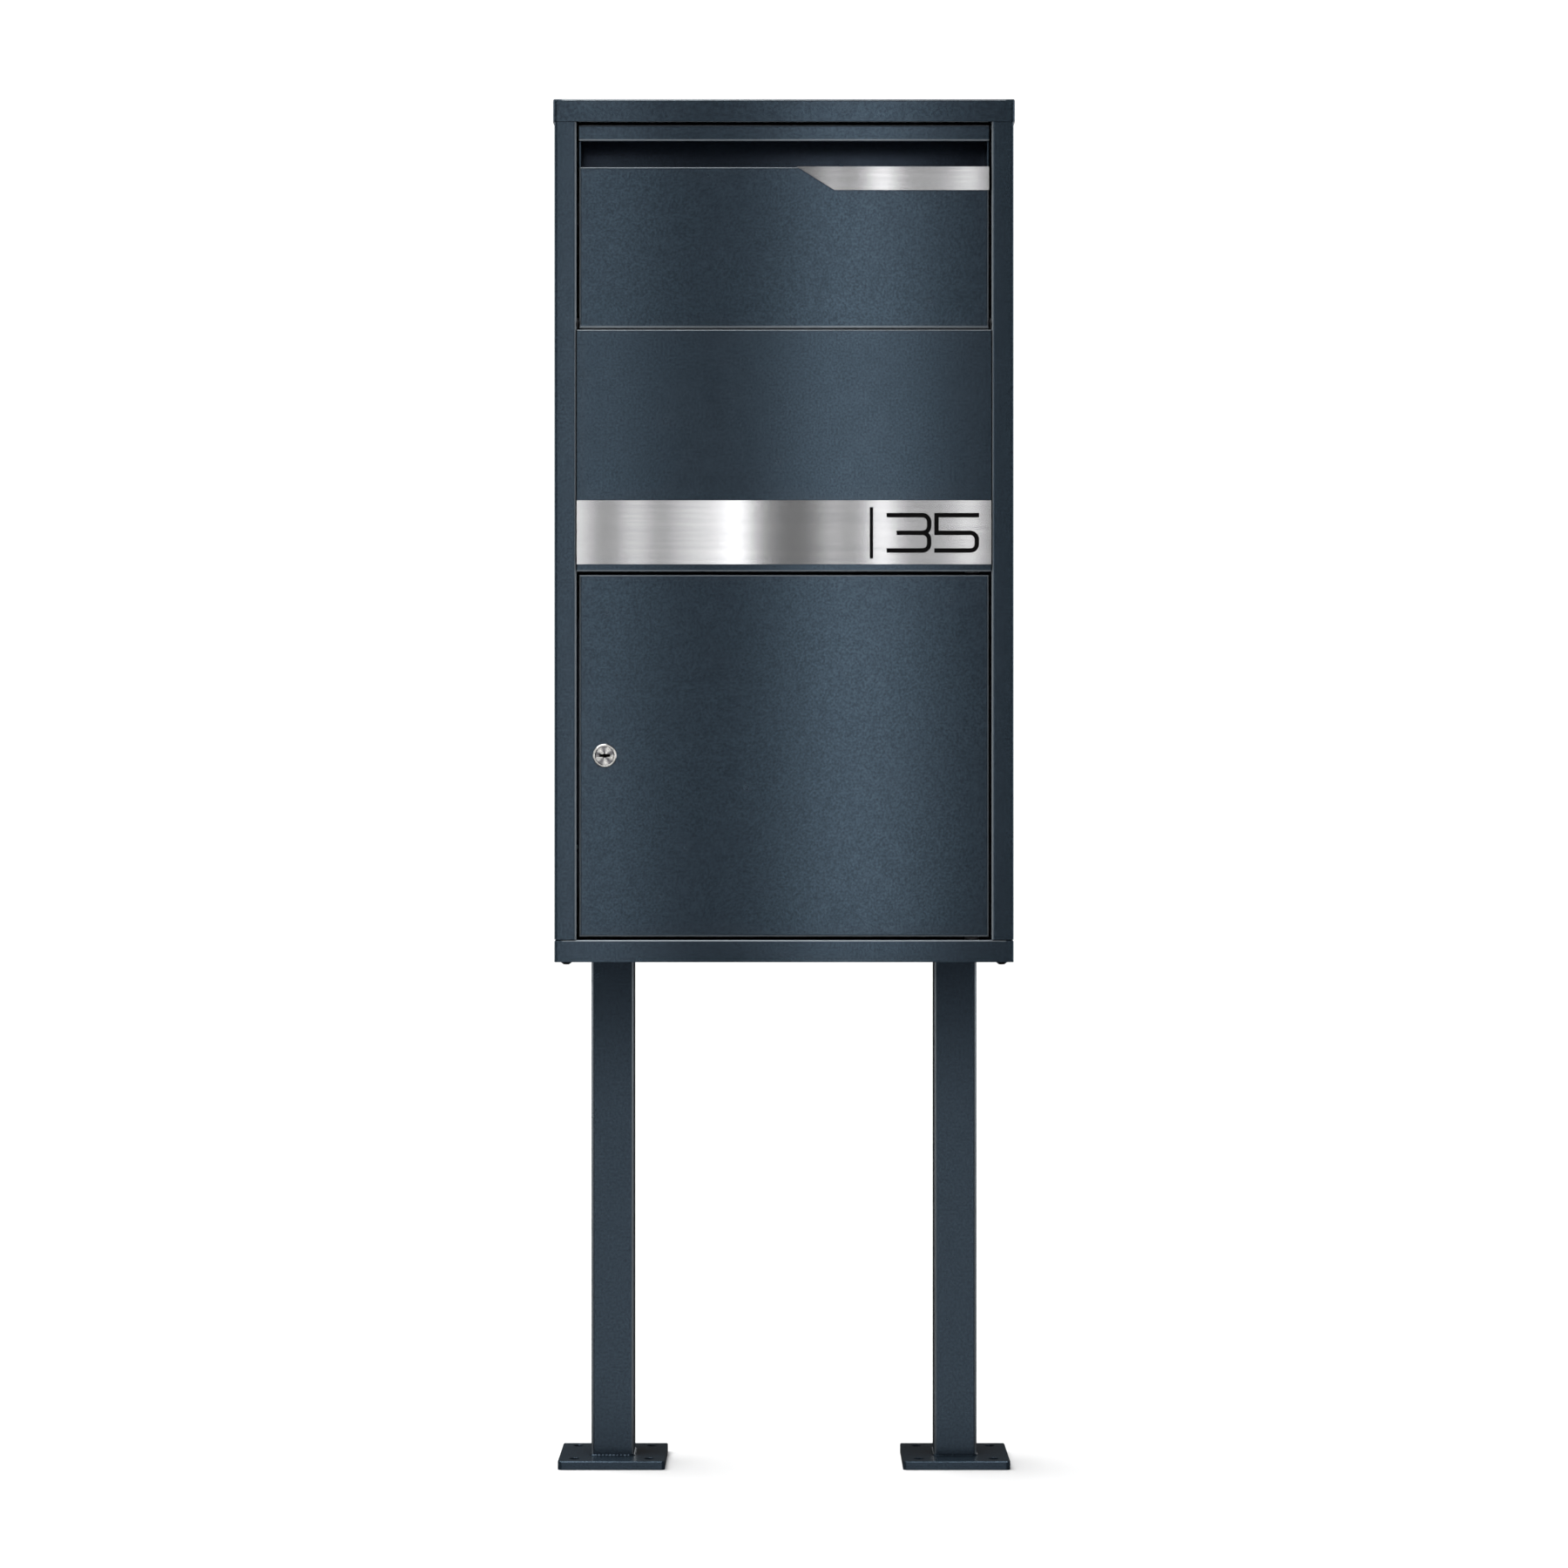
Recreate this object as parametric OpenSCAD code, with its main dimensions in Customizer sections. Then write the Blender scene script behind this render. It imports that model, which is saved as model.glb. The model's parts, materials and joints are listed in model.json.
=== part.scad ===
// Free-standing parcel mailbox: a sheet-metal cabinet on two square posts.
// A tilting parcel hopper sits at the top, a fixed panel with the house number
// below it, and a lockable collection door at the bottom.
// Millimetres. +Z up, -Y to the front, origin on the ground midway between the posts.

/* [Cabinet] */
// Width over the two side cassettes
cabinet_w = 410; // [340:5:520]
// Depth from the front face to the back face
cabinet_d = 400; // [330:5:520]
// Face width of a side cassette
rail_w = 20; // [18:1:30]
// Height of the base under the opening
base_h = 20; // [18:1:30]
// Thickness of the cabinet sheet
sheet = 1.5; // [1.2:0.1:1.8]
// Outside radius of a folded edge
bend_r = 2; // [1.9:0.1:3]
// Radius of the upright corners
corner_r = 2.5; // [2:0.1:4]
// Depth of the folded returns that stiffen a panel
fold_d = 15; // [13:1:20]

/* [Roof cap] */
// Height of the cap over the cassettes
cap_h = 20; // [16:1:40]
// Thickness of the cap sheet
cap_sheet = 1; // [0.8:0.1:1.5]
// Slip clearance between the cap and the cabinet
cap_clear = 0.2; // [0.1:0.1:0.5]

/* [Front layout] */
// Height of the collection door
door_h = 323.5; // [250:0.5:450]
// Height of the fixed front panel
panel_h = 216; // [150:1:300]
// Height of the hopper bay, from the fixed panel to the ceiling
hopper_h = 185.5; // [150:0.5:230]
// Gap between a moving front and the side cassette
side_gap = 2; // [2:0.1:3]
// Gap above and below a moving front
end_gap = 2.5; // [2.5:0.1:4]
// How far the moving fronts sit behind the cabinet face
face_recess = 1.5; // [0.5:0.1:2]

/* [Hopper] */
// Height of the strip above the finger slot
strip_h = 14.5; // [12:0.5:20]
// Height of the finger slot
grip_h = 23; // [18:1:30]
// Depth of the finger channel
grip_d = 45; // [20:1:50]
// Diameter of the hinge rod
rod_d = 8; // [6:0.5:10]
// Angle that the hopper tips forward
open_angle = 75; // [60:1:75]
// Slope of the chute plate when the hopper is shut
chute_angle = 35; // [30:1:38]
// Room left between the open chute plate and the ceiling
chute_clear = 10; // [8:1:20]

/* [Door and lock] */
// Depth of the door pan
door_d = 18; // [16:1:24]
// Diameter of the door pivot pins
pivot_d = 6; // [5:0.5:8]
// Distance of the pivot from the door's edge
pivot_inset = 15; // [14:0.5:20]
// Distance of the pivot behind the door's face
pivot_set = 7; // [6.5:0.5:7]
// Distance of the lock from the door's free edge
lock_inset = 23; // [22:0.5:40]
// Diameter of the lock's rim
lock_rim_d = 21; // [20:0.5:26]
// Reach of the cam from the lock's axis
cam_reach = 22; // [20:0.5:22]

/* [Number and name plates] */
// Height of the house number band
band_h = 57; // [50:1:70]
// Height of the digits
digit_h = 35.5; // [25:0.5:40]
// Width of a digit
digit_w = 40; // [30:1:45]
// Stroke of a digit
stroke = 4; // [3:0.5:6]
// Height of the name plate
name_h = 21; // [16:1:30]
// Length of the name plate along its top edge
name_l = 171.5; // [140:0.5:200]
// How far the name plate's slanted end leans
name_slant = 33.5; // [0:0.5:60]

/* [Legs] */
// Height of the legs under the cabinet
leg_h = 480; // [300:5:700]
// Side of the square post
post_w = 40; // [35:1:45]
// Wall of the square post
post_wall = 2; // [1.5:0.5:4]
// Distance between the two post centres
post_pitch = 322; // [260:1:325]
// Side of the foot plate
foot_w = 100; // [95:1:130]
// Thickness of the foot plate
foot_t = 8; // [6:1:12]
// Distance between the anchor holes
anchor_pitch = 70; // [68:1:80]
// Diameter of the anchor holes
anchor_d = 9; // [7:0.5:13]
// Side of the head plate
head_w = 80; // [78:1:84]
// Thickness of the head plate
head_t = 5; // [4:1:8]

/* [Hidden] */
$fn = 64;
fit = 0.2;            // general slip clearance between still parts
run = 0.05;           // radial clearance of a turning fit
open_w = cabinet_w - 2 * rail_w;
y_front = -cabinet_d / 2;
y_back = cabinet_d / 2;
y_face = y_front + face_recess;
z_base = leg_h;
z_floor = z_base + base_h;
z_door = z_floor + end_gap;
z_door_hi = z_door + door_h;
z_panel = z_door_hi + end_gap;
z_panel_hi = z_panel + panel_h;
z_ceiling = z_panel_hi + hopper_h;
z_top = z_ceiling + cap_h;
z_shell_hi = z_top - bend_r;  // under the cap's inner bend
front_w = open_w - 2 * side_gap;
wall_x = open_w / 2;
edge_x = front_w / 2;

// Hopper hinge: the flap's lower edge is rolled round the rod.
roll_r = rod_d / 2 + 0.1 + sheet;
roll_tuck = 0.8;      // how far the roll dips behind the fixed panel
y_rod = y_face + roll_r;
z_rod = z_panel_hi + roll_r - roll_tuck;
z_flap_hi = z_ceiling - end_gap;
z_strip = z_flap_hi - strip_h;
z_slot = z_strip - grip_h;
lip_h = 10;           // rear lip of the flap's top fold
crown_r = norm([y_face + bend_r - y_rod, z_flap_hi - z_rod]);  // channel's roof, round the rod
ceiling_room = z_ceiling - z_rod;
chute_len = (ceiling_room - chute_clear) / sin(open_angle - chute_angle);
chute_fold = 10;
cheek_room = 4.4;     // cheek to ceiling while it swings
cheek_x = edge_x - 2 * sheet;
bush_wall = 1;
bush_rim = 1.5;       // how far the flange stands out round the barrel
bush_flange = 1.2;    // thickness of the flange
bush_len = 12;
rod_in = 10;          // how far the rod enters each bush

// Hopper end stops
stop_h = 20;
stop_t = 10;
pad_t = 3;
stop_up = 100;        // height of the stop above the rod
stop_x = cheek_x + sheet + 0.3;
stop_y = y_face + fold_d + pad_t;
pin_r = 3;
pin_open = [stop_y + stop_t - y_rod + pin_r + fit, stop_up];
pin_turn = atan2(pin_open[1], pin_open[0]) - open_angle;

// Door pivot, latch rail and lock
x_pivot = edge_x - pivot_inset;
y_pivot = y_face + pivot_set;
pivot_bush_wall = 1.5;
pivot_bush_len = 8;
sill_d = 25;          // depth of the panel's lower fold
buffer_t = 3;
y_rail = y_face + door_d + buffer_t;
rail_reach = 14;
rail_leg = 18;
rail_end = 40;
x_lock = -edge_x + lock_inset;
z_lock = z_door + door_h / 2;
barrel_r = 9;
barrel_flat = 8;      // half width over the barrel's two flats
barrel_len = door_d + 4;
rim_t = 2;            // how far the rim stands in front of the door
rim_chamfer = 0.8;
plug_r = 7;
plug_face_r = 8.2;
plug_groove = 0.4;    // ring gap between the plug's face and the rim
plug_sink = 0.7;      // underside of the plug's face, in front of the door
key_w = 10.2;
key_h = 2.6;
key_deep = 12;
key_pin_r = 2;
tang_w = 7;           // square that drives the cam
cam_t = 2;
cam_screw_r = 2;
cam_screw_in = 9;     // how far the cam's screw reaches into the plug
y_cam = y_rail + sheet + 0.5;

// House number band
band_up = 6.5;        // band above the panel's lower edge
z_band = z_panel + band_up;
band_t = 0.8;
film_t = 0.3;
digit_edge = 11;      // last digit to the band's right edge
digit_gap = 2.5;
digit_drop = 0.5;     // digits below the band's middle
digit_r = 8;          // outside radius of a bowl
digit_arm = 8.8;      // straight part of a bowl's ends
bar_w = 3;
bar_gap = 12;         // bar to the first digit
bar_edge = 5.5;       // bar's ends to the band's edges

// Fasteners
rivet_r = 1.6;
bolt_r = 4;
screw_r = 3;
stud_r = 2.5;
corner_in = 15;       // corner screw from the front or back face
stud_x = cabinet_w / 2 - 86;
stud_y = cabinet_d / 2 - 60;
stud_down = 6;        // thread that shows under the ceiling
bolt_edge = 10;       // post bolt to the head plate's edge
head_pitch = head_w - 2 * bolt_edge;
bolt_head_w = 13;
bolt_head_h = 5.3;
washer_t = 1.6;
washer_r = 8;
rivet_in = 9;         // rivet behind the face of a front sheet

// n heights spread evenly from lo to hi.
function spread(n, lo, hi) = [for (i = [0:n - 1]) lo + i * (hi - lo) / (n - 1)];
back_spots = [for (z = spread(5, z_floor + 60, z_shell_hi - 60)) [y_back - fold_d / 2, z]];
panel_spots = [for (z = spread(3, z_panel + 43, z_panel_hi - 43)) [y_front + rivet_in, z]];
rail_spots = [for (z = spread(3, z_door + rail_end + 20, z_door_hi - rail_end - 20)) [y_rail + 10, z]];
flap_spots = [for (z = spread(3, z_rod + 25, z_slot - 25)) [y_face + rivet_in, z]];

PAINT = [0.21, 0.25, 0.29];
STEEL = [0.72, 0.72, 0.73];
ZINC = [0.62, 0.64, 0.66];
NYLON = [0.08, 0.08, 0.09];
FILM = [0.05, 0.05, 0.05];

// ---------- shared shapes ----------

// Rectangle with four round corners, centred.
module round_rect(w, d, r) {
    square([w, d - 2 * r], center = true);
    square([w - 2 * r, d], center = true);
    for (x = [-1, 1], y = [-1, 1]) translate([x * (w / 2 - r), y * (d / 2 - r)]) circle(r);
}

// Rectangle from y = 0 to d, centred on x, with its two corners at y = 0 rounded.
module round_edge(w, d, r) {
    translate([-w / 2, r]) square([w, d - r]);
    translate([-w / 2 + r, 0]) square([w - 2 * r, r + 0.01]);
    for (x = [-1, 1]) translate([x * (w / 2 - r), r]) circle(r);
}

// A Y-Z outline swept along X, centred.
module along_x(len) {
    translate([-len / 2, 0, 0]) rotate([90, 0, 90]) linear_extrude(len) children();
}

// An X-Z outline swept along Y from y0.
module along_y(y0, len) {
    translate([0, y0 + len, 0]) rotate([90, 0, 0]) linear_extrude(len) children();
}

// Upright block whose front face at y = 0 has four rounded edges.
module pan_block(w, h, d, r) {
    intersection() {
        linear_extrude(h) round_edge(w, d, r);
        along_x(w) translate([0, h / 2]) rotate(-90) round_edge(h, d, r);
    }
}

// Flat block with round upright corners and four rounded edges underneath.
module tub_block(w, d, h, corner, edge) {
    intersection() {
        linear_extrude(h) round_rect(w, d, corner);
        along_x(w) round_edge(d, h, edge);
        along_y(-d / 2, d) round_edge(w, h, edge);
    }
}

// Sheet tub, open at the top.
module tub(w, d, h, t, corner, edge) {
    difference() {
        tub_block(w, d, h, corner, edge);
        translate([0, 0, t]) tub_block(w - 2 * t, d - 2 * t, h, max(corner - t, 0.2), max(edge - t, 0.2));
    }
}

// Quarter of a folded sheet. quarter = [±1, ±1] says which way it bulges.
module fold2d(y, z, quarter) {
    translate([y, z]) intersection() {
        difference() {
            circle(bend_r);
            circle(bend_r - sheet);
        }
        translate([min(0, quarter[0] * bend_r), min(0, quarter[1] * bend_r)]) square(bend_r);
    }
}

// A Y-Z rectangle between two corners.
module rect2d(y0, z0, y1, z1) {
    translate([y0, z0]) square([y1 - y0, z1 - z0]);
}

// Children drawn at each [y, z] spot of a side wall, +Z turned outwards. side is -1 or 1.
module on_wall(side, spots, x = wall_x) {
    for (p = spots) translate([side * x, p[0], p[1]]) rotate([0, side * 90, 0]) children();
}

// Blind rivet through sheets that lie from lo to hi.
module rivet(lo, hi, r = rivet_r) {
    translate([0, 0, lo - 1]) cylinder(h = 1, r1 = r + 1, r2 = r + 1.8);
    translate([0, 0, lo]) cylinder(h = hi - lo, r = r);
    translate([0, 0, hi]) cylinder(h = 1.5, r = r + 0.8);
}

module rivet_hole(r = rivet_r) {
    translate([0, 0, -8]) cylinder(h = 16, r = r + 0.1);
}

module hex(across, h) {
    cylinder(h = h, d = across / cos(30), $fn = 6);
}

// Cylinder along X from x0 to x1, round the hopper rod's axis.
module rod_cyl(x0, x1, r) {
    translate([min(x0, x1), y_rod, z_rod]) rotate([0, 90, 0]) cylinder(h = abs(x1 - x0), r = r);
}

// Cylinder along Y from y_face + y0 to y_face + y1, round the lock's axis.
module lock_cyl(y0, y1, r, r_end = -1) {
    translate([x_lock, y_face + y0, z_lock]) rotate([-90, 0, 0])
        cylinder(h = y1 - y0, r1 = r, r2 = r_end < 0 ? r : r_end);
}

// ---------- cabinet ----------

module side_panel(side) {
    color(PAINT) difference() {
        translate([side * (cabinet_w - rail_w) / 2, 0, z_floor])
            linear_extrude(z_shell_hi - z_floor) difference() {
                round_rect(rail_w, cabinet_d, corner_r);
                round_rect(rail_w - 2 * sheet, cabinet_d - 2 * sheet, corner_r - sheet);
            }
        rod_cyl(side * (wall_x - 1), side * (wall_x + sheet + 1), rod_d / 2 + bush_wall + run);
        on_wall(side, back_spots) rivet_hole();
        on_wall(side, panel_spots) rivet_hole();
        if (side < 0) on_wall(side, rail_spots) rivet_hole();
    }
}

module corner_places() {
    for (x = [-1, 1], y = [-1, 1])
        translate([x * (cabinet_w - rail_w) / 2, y * (cabinet_d / 2 - corner_in), 0]) children();
}

module head_bolt_places() {
    for (x = [-1, 1], dx = [-1, 1], dy = [-1, 1])
        translate([x * post_pitch / 2 + dx * head_pitch / 2, dy * head_pitch / 2, 0]) children();
}

// Floor of the cabinet, folded down all round to make the base.
module base_pan() {
    color(PAINT) difference() {
        translate([0, 0, z_floor]) mirror([0, 0, 1]) tub(cabinet_w, cabinet_d, base_h, sheet, corner_r, bend_r);
        corner_places() translate([0, 0, z_floor - 5]) cylinder(h = 10, r = screw_r + fit);
        translate([x_pivot, y_pivot, z_floor - 5]) cylinder(h = 10, r = pivot_d / 2 + pivot_bush_wall + run);
    }
}

// Tray that closes the base from below and is bolted down on the posts.
module bottom_tray() {
    w = cabinet_w - 2 * sheet - 2 * fit;
    d = cabinet_d - 2 * sheet - 2 * fit;
    under_floor = 3;
    color(PAINT) difference() {
        translate([0, 0, z_base]) tub(w, d, base_h - sheet - under_floor, sheet, corner_r - sheet, bend_r);
        corner_places() translate([0, 0, z_base - 1]) cylinder(h = 5, r = screw_r + fit);
        head_bolt_places() translate([0, 0, z_base - 1]) cylinder(h = 5, r = bolt_r + 0.5);
    }
}

module back_panel() {
    x = wall_x - fit;
    fold_short = 20;  // folds end below the ceiling plate
    color(PAINT) difference() {
        union() {
            translate([-x, y_back - sheet, z_floor]) cube([2 * x, sheet, z_shell_hi - z_floor]);
            for (s = [-1, 1]) translate([s * (x - sheet / 2), y_back - fold_d / 2, z_floor])
                linear_extrude(z_shell_hi - z_floor - fold_short) square([sheet, fold_d], center = true);
        }
        for (s = [-1, 1]) on_wall(s, back_spots) rivet_hole();
    }
}

// Ceiling sheet with its edges folded up, hung from the cap's studs.
module ceiling_plate() {
    under_cap = 6;
    color(PAINT) translate([0, 0, z_ceiling]) difference() {
        translate([0, -fit, 0])
            tub(2 * (wall_x - fit), cabinet_d - 2 * sheet - fit, cap_h - under_cap, sheet, bend_r, bend_r);
        for (x = [-1, 1], y = [-1, 1])
            translate([x * stud_x, y * stud_y, -1]) cylinder(h = 4, r = stud_r + fit);
    }
}

module roof_cap() {
    grow = 2 * (cap_clear + cap_sheet);
    color(PAINT) translate([0, 0, z_top]) mirror([0, 0, 1])
        tub(cabinet_w + grow, cabinet_d + grow, cap_h, cap_sheet, corner_r + grow / 2, bend_r);
}

module cap_studs() {
    color(ZINC) for (x = [-1, 1], y = [-1, 1])
        translate([x * stud_x, y * stud_y, z_ceiling - stud_down])
            cylinder(h = z_top - cap_sheet - z_ceiling + stud_down, r = stud_r);
}

module cap_nuts() {
    nut_w = 8;
    nut_h = 4;
    color(ZINC) for (x = [-1, 1], y = [-1, 1])
        translate([x * stud_x, y * stud_y, z_ceiling - nut_h]) difference() {
            hex(nut_w, nut_h);
            translate([0, 0, -1]) cylinder(h = nut_h + 2, r = stud_r + run);
        }
}

// Fixed panel: hemmed top edge, folded sides, deep lower fold that holds the door's pivot.
module front_panel() {
    x = wall_x - fit;
    hem_h = 10;
    color(PAINT) difference() {
        union() {
            along_x(2 * x) {
                rect2d(y_front, z_panel + bend_r, y_front + sheet, z_panel_hi - sheet);
                rect2d(y_front, z_panel_hi - hem_h, y_front + 2 * sheet, z_panel_hi - sheet);
                translate([y_front + sheet, z_panel_hi - sheet]) circle(sheet);
                fold2d(y_front + bend_r, z_panel + bend_r, [-1, -1]);
                rect2d(y_front + bend_r, z_panel, y_front + sill_d, z_panel + sheet);
            }
            for (s = [-1, 1]) translate([s * (x - sheet / 2), y_front + (fold_d + sheet) / 2, z_panel + sheet])
                linear_extrude(panel_h - sheet - hem_h) square([sheet, fold_d - sheet], center = true);
        }
        for (s = [-1, 1]) on_wall(s, panel_spots) rivet_hole();
        translate([x_pivot, y_pivot, z_panel - 5]) cylinder(h = 10, r = pivot_d / 2 + pivot_bush_wall + run);
    }
}

module number_band() {
    x = wall_x - fit / 2;
    color(STEEL) translate([-x, y_front - band_t, z_band]) cube([2 * x, band_t, band_h]);
}

// Upper or lower bowl of a digit: a rounded ring.
module bowl(w, h) {
    translate([w / 2, h / 2]) difference() {
        round_rect(w, h, digit_r);
        round_rect(w - 2 * stroke, h - 2 * stroke, digit_r - stroke);
    }
}

// Right half of a bowl, its bars drawn out to the left edge.
module half_bowl(w, h) {
    difference() {
        bowl(w, h);
        translate([-1, -1]) square([digit_arm + 1, h + 2]);
    }
    for (y = [0, h - stroke]) translate([0, y]) square([digit_arm + 0.1, stroke]);
}

module digit_three(w, h) {
    bowl_h = (h + stroke) / 2;
    difference() {
        union() {
            half_bowl(w, bowl_h);
            translate([0, h - bowl_h]) half_bowl(w, bowl_h);
        }
        translate([-1, h / 2 - stroke]) square([digit_arm + 1, stroke * 2]);
    }
}

module digit_five(w, h) {
    bowl_h = (h + stroke) / 2;
    half_bowl(w, bowl_h);
    translate([0, h / 2 - stroke / 2]) square([stroke, h / 2 + stroke / 2]);
    translate([0, h - stroke]) square([w, stroke]);
}

// Divider bar and the two digits, cut from adhesive film.
module house_number() {
    x_five = wall_x - digit_edge - digit_w;
    x_three = x_five - digit_gap - digit_w;
    bar_h = band_h - 2 * bar_edge;
    z_mid = z_band + band_h / 2 - digit_drop;
    color(FILM) along_y(y_front - band_t - film_t, film_t) {
        translate([x_five, z_mid - digit_h / 2]) digit_five(digit_w, digit_h);
        translate([x_three, z_mid - digit_h / 2]) digit_three(digit_w, digit_h);
        translate([x_three - bar_gap - bar_w, z_mid - bar_h / 2]) square([bar_w, bar_h]);
    }
}

// Angle that the door shuts against and that the lock's cam catches.
module latch_rail() {
    z0 = z_door + rail_end;
    len = door_h - 2 * rail_end;
    color(PAINT) difference() {
        union() {
            translate([-wall_x, y_rail, z0]) cube([rail_reach, sheet, len]);
            translate([-wall_x, y_rail, z0]) cube([sheet, rail_leg, len]);
        }
        on_wall(-1, rail_spots) rivet_hole();
    }
}

module door_buffers() {
    buffer_r = 4;
    buffer_in = 15;   // buffer from the rail's end
    free = 0.1;       // left to the shut door
    color(NYLON) for (z = [z_door + rail_end + buffer_in, z_door_hi - rail_end - buffer_in])
        translate([-wall_x + buffer_r + 0.5, y_face + door_d + free, z]) rotate([-90, 0, 0])
            cylinder(h = buffer_t - free, r = buffer_r);
}

module panel_rivets() {
    color(PAINT) for (s = [-1, 1]) on_wall(s, panel_spots) rivet(-fit - sheet, sheet);
}

module back_rivets() {
    color(PAINT) for (s = [-1, 1]) on_wall(s, back_spots) rivet(-fit - sheet, sheet);
}

module latch_rivets() {
    color(PAINT) on_wall(-1, rail_spots) rivet(-sheet, sheet);
}

// Blind flanged bush that the hinge rod turns in.
module hopper_bush(side) {
    r = rod_d / 2;
    color(NYLON) difference() {
        union() {
            rod_cyl(side * (wall_x - bush_flange), side * wall_x, r + bush_wall + bush_rim);
            rod_cyl(side * wall_x, side * (wall_x + bush_len), r + bush_wall);
        }
        rod_cyl(side * (wall_x - bush_flange - 1), side * (wall_x + rod_in + 0.5), r + run);
    }
}

// Flanged bush for a door pivot, flange at z = 0 towards -Z and barrel upwards.
module pivot_bush(flange_t) {
    r = pivot_d / 2;
    color(NYLON) difference() {
        union() {
            translate([0, 0, -flange_t]) cylinder(h = flange_t, r = r + pivot_bush_wall + 2);
            cylinder(h = pivot_bush_len, r = r + pivot_bush_wall);
        }
        translate([0, 0, -flange_t - 1]) cylinder(h = pivot_bush_len + flange_t + 2, r = r + run);
    }
}

module door_bush_top() {
    translate([x_pivot, y_pivot, z_panel]) pivot_bush(1);
}

module door_bush_bottom() {
    translate([x_pivot, y_pivot, z_floor]) mirror([0, 0, 1]) pivot_bush(end_gap - 0.1);
}

// Tapped blocks inside the feet of the cassettes.
module end_blocks() {
    block = [rail_w - 2 * sheet - 2 * fit, 24, 15];
    color(ZINC) corner_places() translate([0, 0, z_floor]) difference() {
        translate([-block[0] / 2, -block[1] / 2, 0]) cube(block);
        translate([0, 0, -1]) cylinder(h = block[2] + 2, r = screw_r + 0.1);
    }
}

// Button-head screws that hold the cassettes down on the base.
module corner_screws() {
    head_r = 5.25;
    head_h = 3;
    socket_w = 4;
    socket_deep = 1.8;
    in_block = 12;
    dome_r = (head_r * head_r + head_h * head_h) / (2 * head_h);
    color(NYLON) corner_places() translate([0, 0, z_base]) {
        cylinder(h = base_h + in_block, r = screw_r);
        difference() {
            intersection() {
                translate([0, 0, -head_h + dome_r]) sphere(dome_r);
                translate([0, 0, -head_h]) cylinder(h = head_h, r = head_r);
            }
            translate([0, 0, -head_h - 1]) hex(socket_w, socket_deep + 1);
        }
    }
}

// Steel tabs that stop the shut flap and catch the open hopper's pins.
module hopper_stops() {
    color(PAINT) for (s = [-1, 1]) translate([s * (wall_x + stop_x) / 2, stop_y + stop_t / 2, z_rod + stop_up])
        cube([wall_x - stop_x, stop_t, stop_h], center = true);
}

module hopper_pads() {
    color(NYLON) for (s = [-1, 1])
        translate([s * (wall_x + stop_x) / 2, stop_y - pad_t / 2 + run, z_rod + stop_up]) cube([wall_x - stop_x, pad_t - 2 * run, stop_h - 4], center = true);
}

// ---------- legs ----------

module post(side) {
    inner_r = 1;
    inner_w = post_w - 2 * post_wall;
    color(PAINT) translate([side * post_pitch / 2, 0, foot_t])
        linear_extrude(leg_h - foot_t - head_t) difference() {
            round_rect(post_w, post_w, inner_r + post_wall);
            round_rect(inner_w, inner_w, inner_r);
        }
}

module foot_plate(side) {
    plate_corner = 4;
    plate_edge = 1;
    color(PAINT) translate([side * post_pitch / 2, 0, 0]) difference() {
        translate([0, 0, foot_t]) mirror([0, 0, 1]) tub_block(foot_w, foot_w, foot_t, plate_corner, plate_edge);
        for (x = [-1, 1], y = [-1, 1]) translate([x * anchor_pitch / 2, y * anchor_pitch / 2, -1])
            cylinder(h = foot_t + 2, d = anchor_d);
    }
}

module head_plate(side) {
    color(PAINT) translate([side * post_pitch / 2, 0, z_base - head_t]) difference() {
        linear_extrude(head_t) round_rect(head_w, head_w, 3);
        for (x = [-1, 1], y = [-1, 1]) translate([x * head_pitch / 2, y * head_pitch / 2, -1])
            cylinder(h = head_t + 2, r = bolt_r + run);
    }
}

// Bolts dropped through the tray into the tapped head plates.
module post_bolts() {
    color(ZINC) head_bolt_places() {
        translate([0, 0, z_base + sheet + washer_t]) hex(bolt_head_w, bolt_head_h);
        translate([0, 0, z_base - head_t]) cylinder(h = head_t + sheet + washer_t, r = bolt_r);
    }
}

module post_washers() {
    color(ZINC) head_bolt_places() translate([0, 0, z_base + sheet]) difference() {
        cylinder(h = washer_t, r = washer_r);
        translate([0, 0, -1]) cylinder(h = washer_t + 2, r = bolt_r + fit);
    }
}

// ---------- hopper ----------

// Front skin of the hopper: rolled hinge edge, face, folded sides, top fold and rear lip.
module hopper_flap() {
    y_lip = y_face + grip_d - 2 * sheet;
    color(PAINT) difference() {
        intersection() {
            union() {
                along_x(front_w) {
                    rect2d(y_face, z_rod, y_face + sheet, z_slot - bend_r);
                    fold2d(y_face + bend_r, z_slot - bend_r, [-1, 1]);
                    rect2d(y_face + bend_r, z_slot - sheet, y_lip + sheet, z_slot);
                    rect2d(y_lip, z_slot - lip_h, y_lip + sheet, z_slot);
                    difference() {
                        translate([y_rod, z_rod]) circle(roll_r);
                        translate([y_rod, z_rod]) circle(roll_r - sheet);
                        translate([y_rod - roll_r + sheet, z_rod]) square([roll_r - sheet, roll_r + 1]);
                    }
                }
                for (s = [-1, 1]) translate([s * (edge_x - sheet / 2), y_face + fold_d / 2, z_rod + roll_r + 1])
                    linear_extrude(z_slot - sheet / 2 - z_rod - roll_r - 1) square([sheet, fold_d], center = true);
            }
            translate([0, y_face, z_rod - roll_r - 1])
                linear_extrude(z_slot - z_rod + roll_r + 2) round_edge(front_w, grip_d + 1, bend_r);
        }
        for (s = [-1, 1]) on_wall(s, flap_spots, edge_x) rivet_hole();
        lip_rivet_places() rivet_hole();
    }
}

// Spots along the rear lip that hold the finger channel, +Z turned to the back.
module lip_rivet_places() {
    for (x = spread(5, 30 - edge_x, edge_x - 30))
        translate([x, y_face + grip_d, z_slot - (lip_h + sheet) / 2]) rotate([-90, 0, 0]) children();
}

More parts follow.
